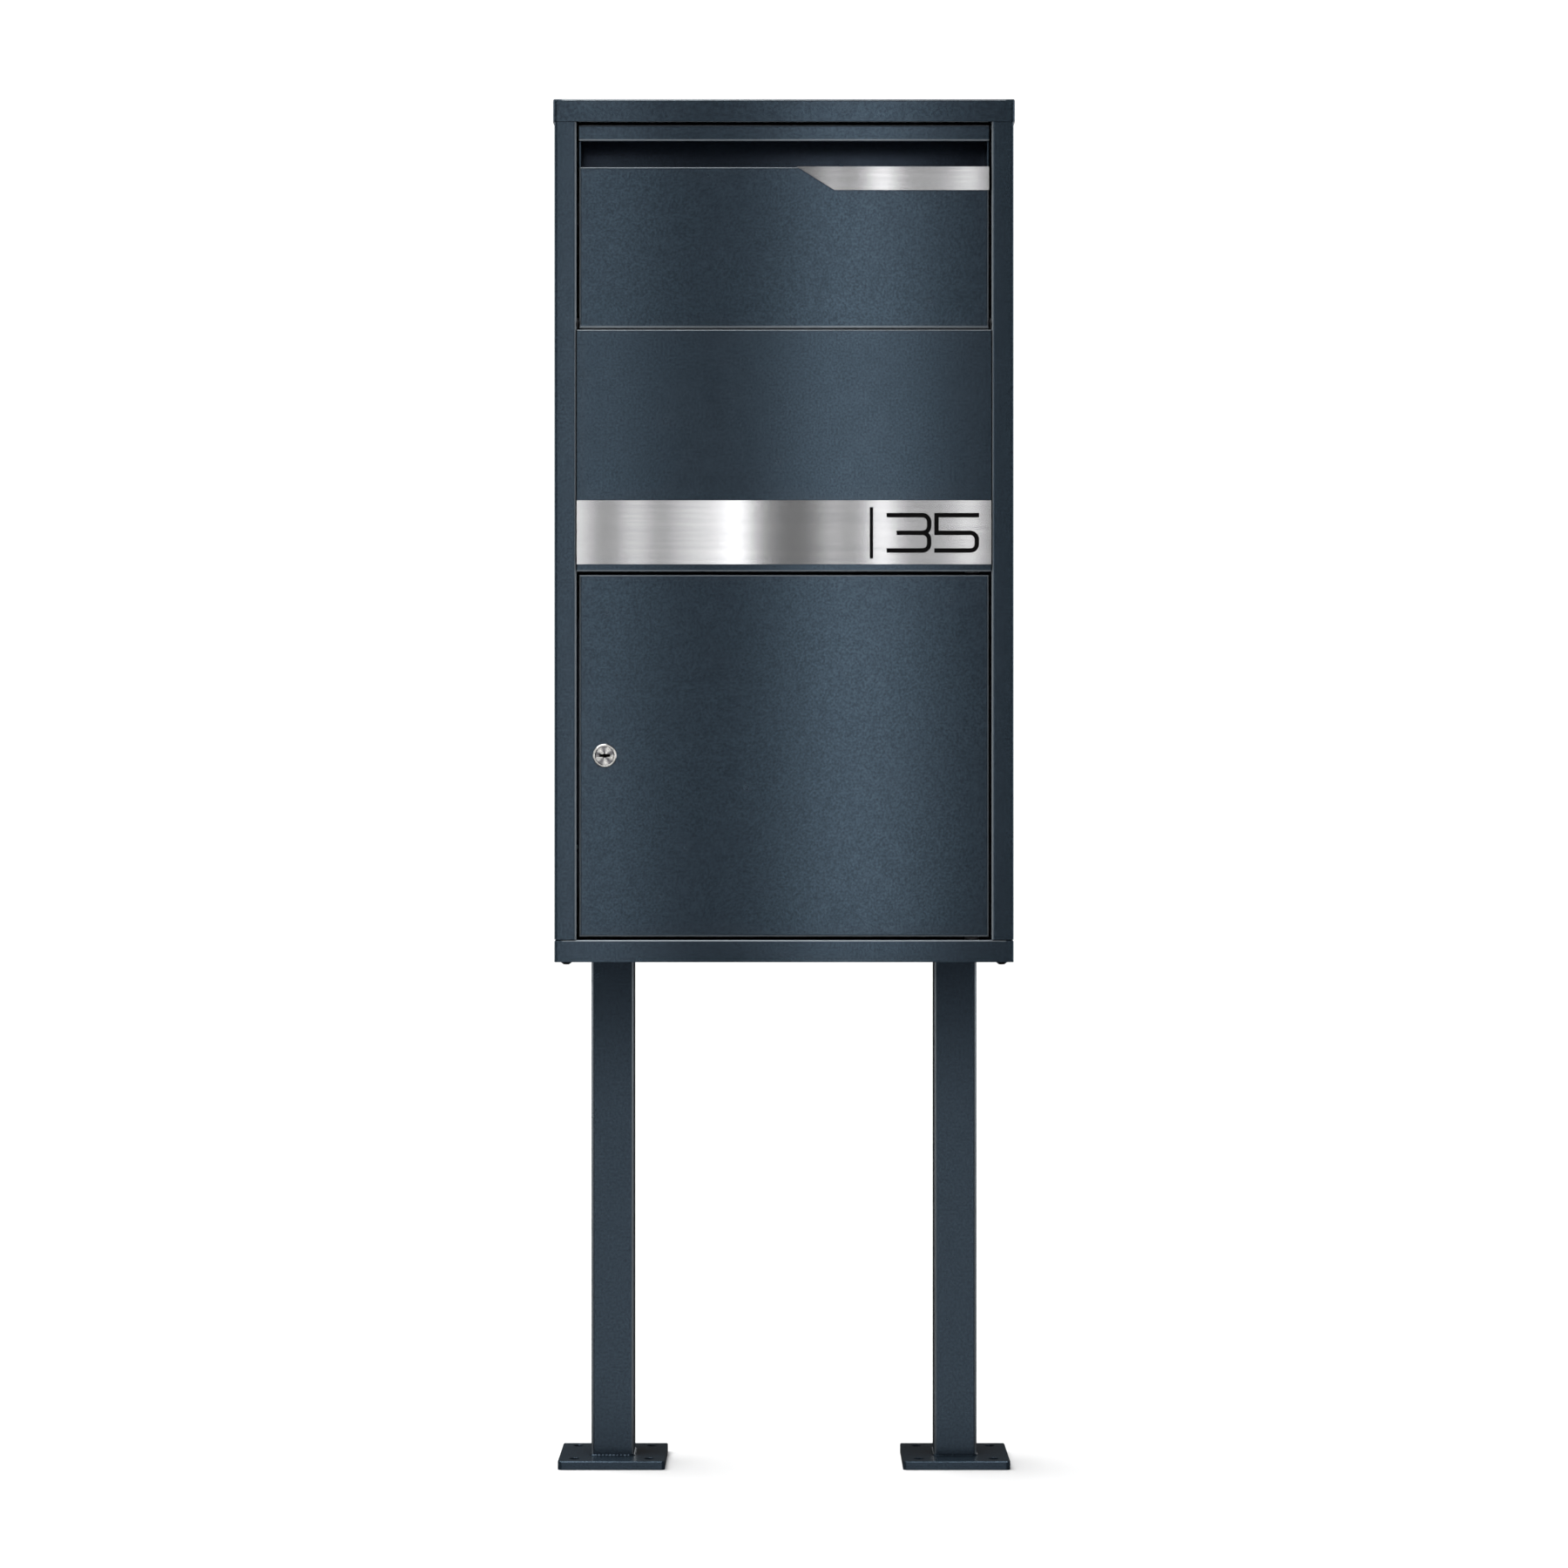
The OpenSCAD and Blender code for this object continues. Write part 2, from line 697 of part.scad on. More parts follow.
// A Y-Z rectangle trimmed to the arc that the channel's roof follows as the hopper tips.
module under_crown(y0, z0, y1, shrink = 0) {
    intersection() {
        rect2d(y0, z0, y1, z_flap_hi + bend_r);
        translate([y_rod, z_rod]) circle(crown_r - shrink);
    }
}

// Finger channel with the strip above the slot.
module grip_channel() {
    y1 = y_face + grip_d;
    strip_fold = 5;
    color(PAINT) difference() {
        union() {
            along_x(front_w) {
                rect2d(y_face + bend_r, z_strip, y_face + strip_fold, z_strip + sheet);
                fold2d(y_face + bend_r, z_strip + bend_r, [-1, -1]);
                rect2d(y_face, z_strip + bend_r, y_face + sheet, z_flap_hi - bend_r);
                fold2d(y_face + bend_r, z_flap_hi - bend_r, [-1, 1]);
                difference() {
                    under_crown(y_face + bend_r, z_strip, y1);
                    under_crown(y_face + bend_r - 1, z_strip - 1, y1 + 1, sheet);
                }
                under_crown(y1 - sheet, z_slot - lip_h, y1);
            }
            for (s = [-1, 1]) translate([s * (edge_x - sheet / 2), 0, 0]) along_x(sheet)
                under_crown(y_face + 3, z_slot, y1 - sheet / 2, sheet / 2);
        }
        lip_rivet_places() rivet_hole();
    }
}

// Reach of a cheek at an angle above the horizontal, kept under the ceiling as it swings.
function cheek_r(a) = min(chute_len, (ceiling_room - cheek_room) / sin(min(90, a + open_angle)));

// Side cheek: a sector between the flap and the chute plate.
module hopper_cheek(side) {
    z_cut = z_slot - lip_h - 0.3;
    outline = concat([[0, 0]], [for (a = [-chute_angle:2.5:90]) cheek_r(a) * [cos(a), sin(a)]]);
    color(PAINT) difference() {
        translate([side * (cheek_x + sheet / 2), 0, 0]) along_x(sheet) difference() {
            union() {
                translate([y_rod, z_rod]) polygon(outline);
                rect2d(y_face + sheet, z_rod + roll_r + 1, y_rod + 1, z_cut);
            }
            translate([y_rod, z_rod]) circle(roll_r + 0.1);
            rect2d(y_face - 1, z_cut, y_face + grip_d + 0.3, z_ceiling + 1);
        }
        on_wall(side, flap_spots, edge_x) rivet_hole();
        chute_rivet_places(side) rivet_hole();
        stop_pin_place(side) cylinder(h = 6, r = pin_r + run, center = true);
    }
}

// Floor of the hopper: carries the parcel, and shuts off the cabinet when the hopper is open.
module chute_plate() {
    lip = 8;
    fold_end = 15;    // folds stop short of the plate's ends
    start = roll_r + 0.5;
    color(PAINT) difference() {
        translate([0, y_rod, z_rod]) rotate([-chute_angle, 0, 0]) {
            translate([-cheek_x, start, -sheet]) cube([2 * cheek_x, chute_len - start, sheet]);
            translate([-cheek_x, chute_len - sheet, -lip]) cube([2 * cheek_x, sheet, lip]);
            for (s = [-1, 1]) translate([s * (cheek_x - sheet / 2) - sheet / 2, fold_end, -sheet])
                cube([sheet, chute_len - 2 * fold_end, chute_fold + sheet]);
        }
        for (s = [-1, 1]) chute_rivet_places(s) rivet_hole();
    }
}

// Spots along the chute plate's folded sides, +Z turned outwards from the cheek's inner face.
module chute_rivet_places(side) {
    translate([side * cheek_x, y_rod, z_rod]) rotate([-chute_angle, 0, 0])
        for (y = spread(4, 40, chute_len - 40))
            translate([0, y, chute_fold / 2]) rotate([0, side * 90, 0]) children();
}

module stop_pin_place(side) {
    r = norm(pin_open);
    translate([side * (cheek_x + sheet / 2), y_rod + r * cos(pin_turn), z_rod + r * sin(pin_turn)])
        rotate([0, side * 90, 0]) children();
}

// Studs on the cheeks that meet the stop tabs when the hopper is fully open.
module stop_pins() {
    pin_head = 1.2;
    pin_out = 2.2;
    color(ZINC) for (s = [-1, 1]) stop_pin_place(s) {
        translate([0, 0, -sheet / 2 - pin_head]) cylinder(h = pin_head, r = pin_r + 2);
        translate([0, 0, -sheet / 2]) cylinder(h = sheet + pin_out, r = pin_r);
    }
}

module hopper_rod() {
    color(ZINC) rod_cyl(-wall_x - rod_in, wall_x + rod_in, rod_d / 2);
}

module hopper_rivets() {
    color(PAINT) {
        for (s = [-1, 1]) {
            on_wall(s, flap_spots, edge_x) mirror([0, 0, 1]) rivet(0, 2 * sheet);
            chute_rivet_places(s) mirror([0, 0, 1]) rivet(-sheet, sheet);
        }
        lip_rivet_places() rivet(-2 * sheet, 0);
    }
}

// Name plate with a slanted end, on the flap's upper right corner.
module name_plate() {
    plate_t = 1;
    x0 = edge_x - name_l;
    color(STEEL) along_y(y_face - plate_t, plate_t) polygon([
        [edge_x, z_slot], [x0, z_slot], [x0 + name_slant, z_slot - name_h], [edge_x, z_slot - name_h]]);
}

// ---------- door and lock ----------

module barrel_outline(r, flat) {
    intersection() {
        circle(r);
        square([2 * flat, 2 * r + 2], center = true);
    }
}

module door_skin() {
    color(PAINT) difference() {
        translate([0, y_face, z_door]) difference() {
            pan_block(front_w, door_h, door_d, bend_r);
            translate([0, sheet, sheet]) pan_block(front_w - 2 * sheet, door_h - 2 * sheet, door_d, bend_r - sheet);
        }
        along_y(y_face - 1, sheet + 2) translate([x_lock, z_lock]) barrel_outline(barrel_r + fit, barrel_flat + fit);
        for (z = [z_door, z_door_hi]) translate([x_pivot, y_pivot, z - 3]) cylinder(h = 6, r = pivot_d / 2 + 0.1);
    }
}

// Hat section down the middle of the door.
module door_stiffener() {
    w = 60;
    flange = 15;
    end = 4;          // left to the door's folds
    h = door_h - 2 * (sheet + end);
    t = sheet;
    deep = door_d - sheet - 3;
    color(PAINT) translate([0, y_face + sheet, z_door + (door_h - h) / 2]) linear_extrude(h) {
        for (s = [-1, 1]) {
            translate([s * (w / 2 + flange / 2), t / 2]) square([flange, t], center = true);
            translate([s * (w / 2 - t / 2), deep / 2]) square([t, deep], center = true);
        }
        translate([0, deep - t / 2]) square([w, t], center = true);
    }
}

// Pivot pin with a collar that bears on the inside of the door's fold. The pin points to +Z.
module pivot_pin(reach) {
    tail = 8;
    collar_t = 3;
    color(ZINC) {
        translate([0, 0, -tail]) cylinder(h = tail + sheet + end_gap + reach, r = pivot_d / 2);
        translate([0, 0, -collar_t]) cylinder(h = collar_t, r = pivot_d / 2 + 2);
    }
}

module door_pivot_top() {
    translate([x_pivot, y_pivot, z_door_hi - sheet]) pivot_pin(pivot_bush_len - 1);
}

module door_pivot_bottom() {
    translate([x_pivot, y_pivot, z_door + sheet]) mirror([0, 0, 1]) pivot_pin(pivot_bush_len - 1);
}

module lock_body() {
    rim_r = lock_rim_d / 2;
    color(STEEL) difference() {
        union() {
            lock_cyl(-rim_t, -rim_t + rim_chamfer, rim_r - rim_chamfer, rim_r);
            lock_cyl(-rim_t + rim_chamfer, 0, rim_r);
            along_y(y_face, barrel_len) translate([x_lock, z_lock]) barrel_outline(barrel_r, barrel_flat);
        }
        lock_cyl(-rim_t - 1, -plug_sink, plug_face_r + plug_groove);
        lock_cyl(-rim_t - 1, barrel_len + 1, plug_r + run);
    }
}

module lock_washer() {
    color(ZINC) difference() {
        lock_cyl(sheet, sheet + 1, barrel_r + 3);
        lock_cyl(0, sheet + 2, barrel_r + fit);
    }
}

module lock_nut() {
    color(ZINC) difference() {
        translate([x_lock, y_face + sheet + 1, z_lock]) rotate([-90, 0, 0]) hex(24, 4);
        lock_cyl(0, sheet + 6, barrel_r + 0.1);
    }
}

// Turning plug with its keyway, and a square tang for the cam.
module lock_plug() {
    back = y_cam - y_face - 0.1;
    under = -plug_sink - 0.1;
    color(STEEL) difference() {
        union() {
            lock_cyl(-rim_t + fit, under, plug_face_r);
            lock_cyl(under, back, plug_r);
            translate([x_lock - tang_w / 2, y_face + back, z_lock - tang_w / 2]) cube([tang_w, cam_t, tang_w]);
        }
        translate([x_lock - key_w / 2, y_face - rim_t - 1, z_lock - key_h / 2])
            cube([key_w, key_deep + rim_t + 1, key_h]);
        lock_cyl(-rim_t - 1, key_deep, key_pin_r);
        lock_cyl(back - cam_screw_in + 1, back + cam_t + 1, cam_screw_r + run);
    }
}

// Cam, hanging down while the door is unlocked.
module lock_cam() {
    arm_w = 14;
    hub_r = 8.5;
    tip_r = 3;
    color(ZINC) along_y(y_cam, cam_t) translate([x_lock, z_lock]) difference() {
        union() {
            circle(hub_r);
            translate([-arm_w / 2, -cam_reach + tip_r]) square([arm_w, cam_reach - tip_r]);
            translate([-arm_w / 2 + tip_r, -cam_reach]) square([arm_w - 2 * tip_r, cam_reach]);
            for (s = [-1, 1]) translate([s * (arm_w / 2 - tip_r), -cam_reach + tip_r]) circle(tip_r);
        }
        square(tang_w + fit, center = true);
    }
}

module cam_screw() {
    y0 = y_cam + cam_t - y_face;
    color(ZINC) {
        lock_cyl(y0, y0 + 2.5, 5.5, 4.5);
        lock_cyl(y0 - cam_screw_in, y0, cam_screw_r);
    }
}

side_panel(-1);  // side_panel_left
side_panel(1);  // side_panel_right
base_pan();
bottom_tray();
back_panel();
ceiling_plate();
roof_cap();
front_panel();
number_band();
house_number();
latch_rail();
hopper_bush(-1);  // hopper_bush_left
hopper_bush(1);  // hopper_bush_right
door_bush_top();
door_bush_bottom();
end_blocks();
corner_screws();
cap_studs();
cap_nuts();
panel_rivets();
back_rivets();
latch_rivets();
hopper_stops();
hopper_pads();
door_buffers();
post(-1);  // post_left
post(1);  // post_right
foot_plate(-1);  // foot_plate_left
foot_plate(1);  // foot_plate_right
head_plate(-1);  // head_plate_left
head_plate(1);  // head_plate_right
post_bolts();
post_washers();
hopper_flap();
grip_channel();
chute_plate();
hopper_cheek(-1);  // hopper_cheek_left
hopper_cheek(1);  // hopper_cheek_right
hopper_rod();
name_plate();
hopper_rivets();
stop_pins();
door_skin();
door_stiffener();
door_pivot_top();
door_pivot_bottom();
lock_body();
lock_washer();
lock_nut();
lock_plug();
lock_cam();
cam_screw();
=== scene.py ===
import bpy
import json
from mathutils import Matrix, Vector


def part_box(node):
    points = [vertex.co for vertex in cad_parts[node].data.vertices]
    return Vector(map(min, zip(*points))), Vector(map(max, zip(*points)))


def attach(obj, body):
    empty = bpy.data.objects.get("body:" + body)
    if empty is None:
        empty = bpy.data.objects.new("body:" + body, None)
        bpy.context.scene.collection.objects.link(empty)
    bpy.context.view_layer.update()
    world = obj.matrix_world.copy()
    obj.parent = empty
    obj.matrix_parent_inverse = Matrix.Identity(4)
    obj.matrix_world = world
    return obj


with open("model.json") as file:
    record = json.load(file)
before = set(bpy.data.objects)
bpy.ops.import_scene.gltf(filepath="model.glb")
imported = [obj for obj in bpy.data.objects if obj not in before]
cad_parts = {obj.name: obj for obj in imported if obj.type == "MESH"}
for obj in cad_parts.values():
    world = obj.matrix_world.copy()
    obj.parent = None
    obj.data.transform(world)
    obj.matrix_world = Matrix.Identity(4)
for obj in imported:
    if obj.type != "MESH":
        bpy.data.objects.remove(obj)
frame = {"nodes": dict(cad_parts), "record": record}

"""Looks of a free-standing parcel mailbox: finishes, weld beads, studio and camera. Lengths are metres."""

import json
import logging
import math
from dataclasses import dataclass, field
from enum import Enum
from typing import Any, Sequence

import bmesh
import bpy
from mathutils import Vector

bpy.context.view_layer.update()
MM = 0.001
UNHIGHLIGHTED = ("chute_plate", "foot_plate_left", "foot_plate_right")   # these get no painted edge highlight

log = logging.getLogger("mailbox")


# ---------- helpers ----------

def linear(hex_colour: str) -> tuple[float, float, float, float]:
    """Turn an sRGB hex colour into a linear colour with full alpha.

    Args:
        hex_colour: Six digits after a hash, such as "#3a4550".

    Returns:
        Linear red, green, blue and an alpha of one.
    """
    channels = [int(hex_colour[i:i + 2], 16) / 255 for i in (1, 3, 5)]
    curved = [c / 12.92 if c <= 0.04045 else ((c + 0.055) / 1.055) ** 2.4 for c in channels]
    return (curved[0], curved[1], curved[2], 1.0)


def put(tree: bpy.types.NodeTree, kind: str, inputs: dict[Any, Any] | None = None, **settings: Any) -> bpy.types.Node:
    """Add a node with its settings, its input values and its links.

    Args:
        tree: Node tree that gets the node.
        kind: Node type without its "ShaderNode" start.
        inputs: Values or output sockets by input name or number.
        **settings: Attributes of the node.

    Returns:
        The new node.
    """
    node = tree.nodes.new("ShaderNode" + kind)
    for name, value in settings.items():
        setattr(node, name, value)
    for name, value in (inputs or {}).items():
        if isinstance(value, bpy.types.NodeSocket):
            tree.links.new(value, node.inputs[name])
        else:
            node.inputs[name].default_value = value
    return node


def middle(node: str) -> Vector:
    """Give the centre of a CAD node's box.

    Args:
        node: Name of the CAD node.

    Returns:
        The centre at rest.
    """
    low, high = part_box(node)
    return (low + high) / 2


# ---------- finishes ----------

@dataclass(frozen=True)
class Finish:
    """A surface finish that makes its own procedural material."""

    name: str

    def start(self) -> tuple[bpy.types.Material, bpy.types.NodeTree, bpy.types.Node, bpy.types.NodeSocket]:
        """Make an empty node material.

        Returns:
            The material, its tree, its Principled shader and the object coordinates in metres.
        """
        material = bpy.data.materials.new(self.name)
        material.use_nodes = True
        tree = material.node_tree
        tree.nodes.clear()
        shader = put(tree, "BsdfPrincipled")
        put(tree, "OutputMaterial", {"Surface": shader.outputs["BSDF"]})
        place = put(tree, "TexCoord").outputs["Object"]
        return material, tree, shader, place

    def material(self) -> bpy.types.Material:
        """Make the material; each finish has its own way.

        Returns:
            The new material.
        """
        raise NotImplementedError


@dataclass(frozen=True)
class PowderCoat(Finish):
    """Polyester powder coat with metal flake, sprayed and baked on folded steel sheet.

    The fine texture breaks reflections into soft, blue-grey bands. Folded edges round the front get a painted
    highlight, and nooks get painted shade from an ambient-occlusion mask.
    """

    colour: str = "#4b5d6a"
    shade: str = "#2b3642"
    # dark colour painted into nooks as shade
    painted_shade_colour: str = "#121b29"
    # light colour painted on folded edges as a highlight
    edge_highlight_colour: str = "#c3cbd1"
    edge_highlight: float = 0.48          # how much of the light edge colour is painted on a folded edge as a highlight
    # half width of the front zone whose folded edges get the painted highlight
    edge_highlight_reach: float = 197 * MM
    metallic: float = 0.72
    roughness: float = 0.24
    grain: float = 2.0 * MM       # real grit is about 0.3 mm; drawn coarser so that it shows
    peel: float = 14 * MM
    cloud: float = 110 * MM
    edge: float = 0.9 * MM
    nook: float = 110 * MM

    def material(self) -> bpy.types.Material:
        """Make the powder coat's material.

        Returns:
            The new material.
        """
        material, tree, shader, place = self.start()
        grain = put(tree, "TexNoise", {"Vector": place, "Scale": 1 / self.grain, "Detail": 3.0, "Roughness": 0.6})
        peel = put(tree, "TexNoise", {"Vector": place, "Scale": 1 / self.peel, "Detail": 1.0})
        cloud = put(tree, "TexNoise", {"Vector": place, "Scale": 1 / self.cloud, "Detail": 2.0})
        worn = put(tree, "Bevel", {"Radius": self.edge}, samples=4)
        # Painted highlight: where the normal leans off the axes, on folded edges near the front's middle, the colour is
        # mixed towards the light edge colour.
        facing = put(tree, "VectorMath", {0: put(tree, "TexCoord").outputs["Normal"]}, operation="ABSOLUTE")
        axes = put(tree, "SeparateXYZ", {"Vector": facing.outputs["Vector"]})
        level = put(tree, "Math", {0: axes.outputs["X"], 1: axes.outputs["Z"]}, operation="MAXIMUM")
        square_on = put(tree, "Math", {0: level.outputs[0], 1: axes.outputs["Y"]}, operation="MAXIMUM")
        folded = put(tree, "MapRange", {"Value": square_on.outputs[0], "From Min": 0.985, "From Max": 0.9,
                                        "To Min": 0.0, "To Max": self.edge_highlight})
        spot = put(tree, "SeparateXYZ", {"Vector": place})
        out = put(tree, "Math", {0: spot.outputs["X"]}, operation="ABSOLUTE")
        near = put(tree, "MapRange", {"Value": out.outputs[0], "From Min": self.edge_highlight_reach,
                                      "From Max": self.edge_highlight_reach + 2 * MM, "To Min": 1.0, "To Max": 0.0})
        rim = put(tree, "Math", {0: folded.outputs["Result"], 1: near.outputs["Result"]}, operation="MULTIPLY")
        speck = put(tree, "MapRange", {"Value": grain.outputs["Fac"], "From Min": 0.35, "From Max": 0.65})
        drift = put(tree, "MapRange", {"Value": cloud.outputs["Fac"], "To Min": 0.38, "To Max": 0.62})
        mottle = put(tree, "Math", {0: speck.outputs["Result"], 1: drift.outputs["Result"]}, operation="MULTIPLY_ADD")
        mottle.inputs[2].default_value = 0.12
        body = put(tree, "Mix", {"Factor": mottle.outputs[0], "A": linear(self.shade), "B": linear(self.colour)},
                   data_type="RGBA")
        coat = put(tree, "Mix", {"Factor": rim.outputs[0], "A": body.outputs["Result"],
                                 "B": linear(self.edge_highlight_colour)}, data_type="RGBA")
        # Painted shade: where ambient occlusion finds nearby surfaces, in recesses, gaps and under the cabinet, the
        # colour is mixed towards the dark nook colour.
        open_air = put(tree, "AmbientOcclusion", {"Distance": self.nook}, samples=6)
        unshaded = put(tree, "MapRange", {"Value": open_air.outputs["AO"], "From Min": 0.1, "From Max": 0.8})
        tone = put(tree, "Mix", {"Factor": unshaded.outputs["Result"], "A": linear(self.painted_shade_colour),
                                 "B": coat.outputs["Result"]}, data_type="RGBA")
        gloss = put(tree, "MapRange", {"Value": peel.outputs["Fac"], "To Min": self.roughness - 0.03,
                                       "To Max": self.roughness + 0.05})
        peel_bump = put(tree, "Bump", {"Height": peel.outputs["Fac"], "Distance": 0.12 * MM, "Strength": 0.25,
                                       "Normal": worn.outputs["Normal"]})
        bump = put(tree, "Bump", {"Height": grain.outputs["Fac"], "Distance": 0.12 * MM, "Strength": 0.5,
                                  "Normal": peel_bump.outputs["Normal"]})
        tree.links.new(tone.outputs["Result"], shader.inputs["Base Color"])
        tree.links.new(gloss.outputs["Result"], shader.inputs["Roughness"])
        tree.links.new(bump.outputs["Normal"], shader.inputs["Normal"])
        shader.inputs["Metallic"].default_value = self.metallic
        return material


@dataclass(frozen=True)
class BrushedStainless(Finish):
    """Stainless sheet, belt-brushed along its length.

    The grain shows as fine level lines, and it smears reflections up and down into upright bands.
    """

    colour: str = "#d6d6d7"
    # tone of the brushed grooves
    dark_tone: str = "#cbcbcd"
    roughness: float = 0.2
    anisotropy: float = 0.8
    line: float = 0.8 * MM        # real scratches are about 0.1 mm; drawn coarser so that they show
    run: float = 70 * MM

    def material(self) -> bpy.types.Material:
        """Make the brushed steel's material.

        Returns:
            The new material.
        """
        material, tree, shader, place = self.start()
        along = put(tree, "Mapping", {"Vector": place, "Scale": (1 / self.run, 1 / self.line, 1 / self.line)})
        lines = put(tree, "TexNoise", {"Vector": along.outputs["Vector"], "Scale": 1.0, "Detail": 4.0, "Roughness": 0.7})
        sweep = put(tree, "Mapping", {"Vector": place,
                                      "Scale": (0.4 / self.run, 0.22 / self.line, 0.22 / self.line)})
        passes = put(tree, "TexNoise", {"Vector": sweep.outputs["Vector"], "Scale": 1.0, "Detail": 2.0})
        grain = put(tree, "Math", {0: lines.outputs["Fac"], 1: passes.outputs["Fac"]}, operation="MULTIPLY")
        depth = put(tree, "MapRange", {"Value": grain.outputs[0], "From Min": 0.12, "From Max": 0.4})
        tone = put(tree, "Mix", {"Factor": depth.outputs["Result"], "A": linear(self.dark_tone), "B": linear(self.colour)},
                   data_type="RGBA")
        gloss = put(tree, "MapRange", {"Value": lines.outputs["Fac"], "To Min": self.roughness + 0.01,
                                       "To Max": self.roughness - 0.01})
        bump = put(tree, "Bump", {"Height": lines.outputs["Fac"], "Distance": 0.03 * MM, "Strength": 0.04})
        across = put(tree, "VectorMath", {0: put(tree, "NewGeometry").outputs["Normal"], 1: (1.0, 0.0, 0.0)},
                     operation="CROSS_PRODUCT")
        tree.links.new(tone.outputs["Result"], shader.inputs["Base Color"])
        tree.links.new(gloss.outputs["Result"], shader.inputs["Roughness"])
        tree.links.new(bump.outputs["Normal"], shader.inputs["Normal"])
        tree.links.new(across.outputs["Vector"], shader.inputs["Tangent"])
        shader.inputs["Metallic"].default_value = 1.0
        shader.inputs["Anisotropic"].default_value = self.anisotropy
        return material


@dataclass(frozen=True)
class TurnedNickel(Finish):
    """Nickel-plated zinc die casting, faced on a lathe.

    Fine rings run round the axis and stretch reflections into spokes; bright and dark spokes are also painted
    into the colour as a reflection. Painted black shade fills the keyway and the ring gap.
    """

    axis: tuple[float, float, float] = (0.0, 0.0, 0.0)
    colour: str = "#f0efec"
    # colour of the dark spokes of the painted reflection
    dark_tone: str = "#8e8d90"
    # near black painted as shade into the keyway and the ring gap
    keyway_shade: str = "#070707"
    spokes: float = 5.0
    spoke_start: float = 2.62
    roughness: float = 0.24
    ring: float = 0.7 * MM        # real tool marks are about 0.1 mm; drawn coarser so that they show
    # radius of the plug, inside which the painted spokes and the painted keyway shade lie
    plug_reach: float = 8.7 * MM
    face_depth: float = 0.4 * MM

    def material(self) -> bpy.types.Material:
        """Make the turned nickel's material.

        Returns:
            The new material.
        """
        material, tree, shader, place = self.start()
        out = put(tree, "VectorMath", {0: place, 1: self.axis}, operation="SUBTRACT")
        flat = put(tree, "VectorMath", {0: out.outputs["Vector"], 1: (1.0, 0.0, 1.0)}, operation="MULTIPLY")
        reach = put(tree, "VectorMath", {0: flat.outputs["Vector"]}, operation="LENGTH")
        turns = put(tree, "Math", {0: reach.outputs["Value"], 1: math.tau / self.ring}, operation="MULTIPLY")
        rings = put(tree, "Math", {0: turns.outputs[0]}, operation="SINE")
        depth = put(tree, "SeparateXYZ", {"Vector": out.outputs["Vector"]})
        # Painted reflection: by the angle round the axis the colour swings between light and dark spokes; past the
        # plug's reach the rim keeps the light colour.
        bearing = put(tree, "Math", {0: depth.outputs["Z"], 1: depth.outputs["X"]}, operation="ARCTAN2")
        turned = put(tree, "Math", {0: bearing.outputs[0], 1: self.spokes, 2: self.spoke_start},
                     operation="MULTIPLY_ADD")
        wave = put(tree, "Math", {0: turned.outputs[0]}, operation="SINE")
        shading = put(tree, "MapRange", {"Value": wave.outputs[0], "From Min": -0.8, "From Max": 0.7})
        rim = put(tree, "Math", {0: reach.outputs["Value"], 1: self.plug_reach}, operation="GREATER_THAN")
        bright = put(tree, "Math", {0: shading.outputs["Result"], 1: rim.outputs[0]}, operation="MAXIMUM")
        tone = put(tree, "Mix", {"Factor": bright.outputs[0], "A": linear(self.dark_tone),
                                 "B": linear(self.colour)}, data_type="RGBA")
        round_edge = put(tree, "Bevel", {"Radius": 0.4 * MM}, samples=4)
        bump = put(tree, "Bump", {"Height": rings.outputs[0], "Distance": 0.02 * MM, "Strength": 0.5,
                                  "Normal": round_edge.outputs["Normal"]})
        # Painted shade: behind the plug's face and inside the plug's reach, in the keyway and the ring gap, the colour
        # turns near black.
        behind = put(tree, "Math", {0: depth.outputs["Y"], 1: self.face_depth}, operation="GREATER_THAN")
        inside = put(tree, "Math", {0: reach.outputs["Value"], 1: self.plug_reach}, operation="LESS_THAN")
        keyway_shade_mask = put(tree, "Math", {0: behind.outputs[0], 1: inside.outputs[0]}, operation="MULTIPLY")
        skin = put(tree, "Mix", {"Factor": keyway_shade_mask.outputs[0], "A": tone.outputs["Result"], "B": linear(self.keyway_shade)},
                   data_type="RGBA")
        tree.links.new(skin.outputs["Result"], shader.inputs["Base Color"])
        tree.links.new(bump.outputs["Normal"], shader.inputs["Normal"])
        tree.links.new(flat.outputs["Vector"], shader.inputs["Tangent"])
        shader.inputs["Metallic"].default_value = 1.0
        shader.inputs["Roughness"].default_value = self.roughness
        shader.inputs["Anisotropic"].default_value = 0.6
        return material


